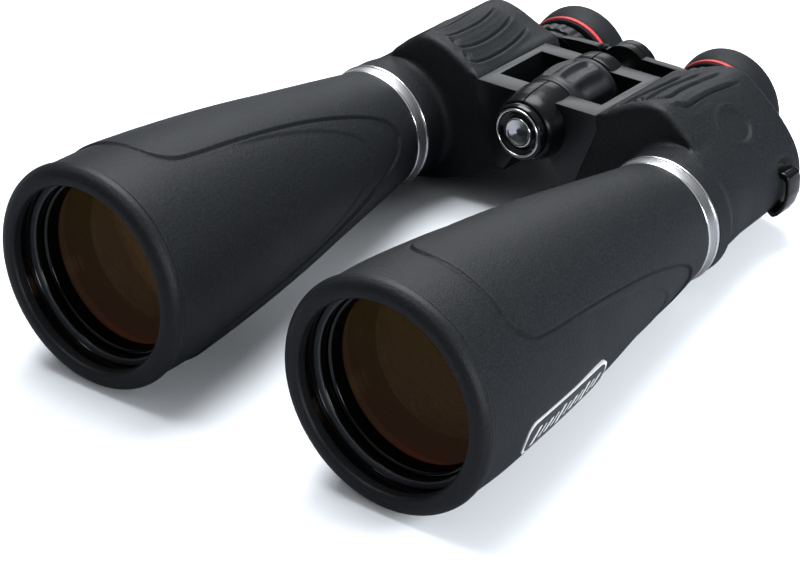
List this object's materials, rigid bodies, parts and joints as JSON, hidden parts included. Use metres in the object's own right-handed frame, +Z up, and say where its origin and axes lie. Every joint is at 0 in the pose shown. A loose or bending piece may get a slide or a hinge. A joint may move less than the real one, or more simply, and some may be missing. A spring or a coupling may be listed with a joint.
{
  "type": "astronomy binoculars",
  "caption": "Large Porro-prism binoculars with wide tapered objective barrels, offset prism housings, a central folding hinge, focus wheel, moving eyepiece bridge and twist-up eyecups.",
  "frame": {"origin": "below the central hinge, midway between the two barrels, at half the length, on the plane the lowest points rest on", "axes": "+X to the viewer's left-hand barrel seen from the front (the user's right), +Y from the objectives to the eyepieces along the optical axes, +Z up"},
  "size_m": [0.2311, 0.279, 0.0908],
  "materials": {
    "rim_rubber": "satin moulded rubber bumper",
    "armour_rubber": "matte moulded rubber armour with a fine grain",
    "eyecup_rubber": "smooth matte rubber",
    "grip_rubber": "fluted matte rubber",
    "black_castings": "semi-gloss black paint on cast alloy",
    "black_anodised": "black anodised, turned",
    "coated_objective_glass": "multi-coated with amber and green reflections",
    "coated_eyepiece_glass": "multi-coated",
    "prism_glass": "polished optical crown glass",
    "spring_steel": "bright spring steel",
    "polished_ring": "polished with a satin middle band",
    "chrome_trim": "polished chrome",
    "steel_lug": "blackened steel",
    "red_ring": "satin red",
    "brass_thread": "machined",
    "gloss_black_cap": "gloss black",
    "steel_shaft": "ground steel",
    "name_plate": "semi-gloss black badge with a silver edge"
  },
  "bodies": {
    "right_half": {"objective_rim_right": "rim_rubber", "barrel_armour_right": "armour_rubber", "barrel_tube_right": "black_castings", "lens_cell_right": "black_anodised", "crown_lens_right": "coated_objective_glass", "flint_lens_right": "coated_objective_glass", "lens_retaining_ring_right": "black_anodised", "trim_ring_right": "polished_ring", "prism_housing_right": "black_castings", "housing_armour_right": "armour_rubber", "front_prism_right": "prism_glass", "rear_prism_right": "prism_glass", "prism_clip_right": "spring_steel", "strap_lug_right": "steel_lug", "rear_cover_right": "black_castings", "eyepiece_guide_right": "black_anodised", "hinge_core_front": "black_castings", "tripod_socket": "brass_thread", "hinge_core_rear": "black_castings", "name_plate": "name_plate"},
    "left_half": {"objective_rim_left": "rim_rubber", "barrel_armour_left": "armour_rubber", "barrel_tube_left": "black_castings", "lens_cell_left": "black_anodised", "crown_lens_left": "coated_objective_glass", "flint_lens_left": "coated_objective_glass", "lens_retaining_ring_left": "black_anodised", "trim_ring_left": "polished_ring", "prism_housing_left": "black_castings", "housing_armour_left": "armour_rubber", "front_prism_left": "prism_glass", "rear_prism_left": "prism_glass", "prism_clip_left": "spring_steel", "strap_lug_left": "steel_lug", "rear_cover_left": "black_castings", "eyepiece_guide_left": "black_anodised"},
    "focus_wheel": {"focus_wheel_core": "black_anodised", "focus_wheel_grip": "grip_rubber", "focus_screw": "brass_thread"},
    "bridge_right": {"bridge_arm_right": "black_castings", "focus_shaft": "steel_shaft", "bridge_end_cap": "black_anodised"},
    "bridge_left": {"bridge_arm_left": "black_castings", "collar_ring": "black_anodised", "ocular_barrel_left": "black_anodised", "field_lens_left": "coated_eyepiece_glass", "eye_lens_left": "coated_eyepiece_glass"},
    "dioptre_ring": {"dioptre_ring": "grip_rubber"},
    "ocular_right": {"ocular_barrel_right": "black_anodised", "field_lens_right": "coated_eyepiece_glass", "eye_lens_right": "coated_eyepiece_glass"},
    "eyecup_sleeve_right": {"eyecup_sleeve_right": "black_anodised"},
    "eyecup_right": {"eyecup_right": "eyecup_rubber", "accent_ring_right": "red_ring"},
    "eyecup_sleeve_left": {"eyecup_sleeve_left": "black_anodised"},
    "eyecup_left": {"eyecup_left": "eyecup_rubber", "accent_ring_left": "red_ring"},
    "tripod_cap": {"tripod_cap": "gloss_black_cap", "cap_trim_ring": "chrome_trim", "cap_medallion": "chrome_trim"}
  },
  "joints": [
    {"name": "interpupillary_hinge", "type": "hinge", "parent": "right_half", "child": "left_half", "pos_m": [0, 0, 0.0619], "axis": [0, -1, 0], "range_deg": [0, 52]},
    {"name": "focus_turn", "type": "hinge", "parent": "right_half", "child": "focus_wheel", "pos_m": [0, 0, 0.0619], "axis": [0, 1, 0], "range_deg": [-270, 270]},
    {"name": "focus_travel", "type": "slide", "parent": "right_half", "child": "bridge_right", "axis": [0, 1, 0], "range_m": [-0.004, 0.004]},
    {"name": "bridge_fold", "type": "hinge", "parent": "bridge_right", "child": "bridge_left", "pos_m": [0, 0, 0.0619], "axis": [0, -1, 0], "range_deg": [0, 52]},
    {"name": "dioptre_turn", "type": "hinge", "parent": "bridge_right", "child": "dioptre_ring", "pos_m": [0.0373, 0, 0.0502], "axis": [0, 1, 0], "range_deg": [-60, 60]},
    {"name": "dioptre_travel", "type": "slide", "parent": "bridge_right", "child": "ocular_right", "axis": [0, 1, 0], "range_m": [-0.0015, 0.0015]},
    {"name": "eyecup_lift_right", "type": "slide", "parent": "ocular_right", "child": "eyecup_sleeve_right", "axis": [0, 1, 0], "range_m": [0, 0.008]},
    {"name": "eyecup_twist_right", "type": "hinge", "parent": "eyecup_sleeve_right", "child": "eyecup_right", "pos_m": [0.0373, 0, 0.0502], "axis": [0, 1, 0], "range_deg": [0, 120]},
    {"name": "eyecup_lift_left", "type": "slide", "parent": "bridge_left", "child": "eyecup_sleeve_left", "axis": [0, 1, 0], "range_m": [0, 0.008]},
    {"name": "eyecup_twist_left", "type": "hinge", "parent": "eyecup_sleeve_left", "child": "eyecup_left", "pos_m": [-0.0373, 0, 0.0502], "axis": [0, 1, 0], "range_deg": [0, 120]},
    {"name": "cap_off", "type": "slide", "parent": "right_half", "child": "tripod_cap", "axis": [0, -1, 0], "range_m": [0, 0.012]}
  ],
  "couplings": [
    {"joint": "focus_turn", "follows": "focus_travel", "rad_per_m": 1178},
    {"joint": "bridge_fold", "follows": "interpupillary_hinge", "ratio": 1},
    {"joint": "dioptre_turn", "follows": "dioptre_travel", "rad_per_m": 698},
    {"joint": "eyecup_twist_right", "follows": "eyecup_lift_right", "rad_per_m": 261.7},
    {"joint": "eyecup_twist_left", "follows": "eyecup_lift_left", "rad_per_m": 261.7}
  ]
}
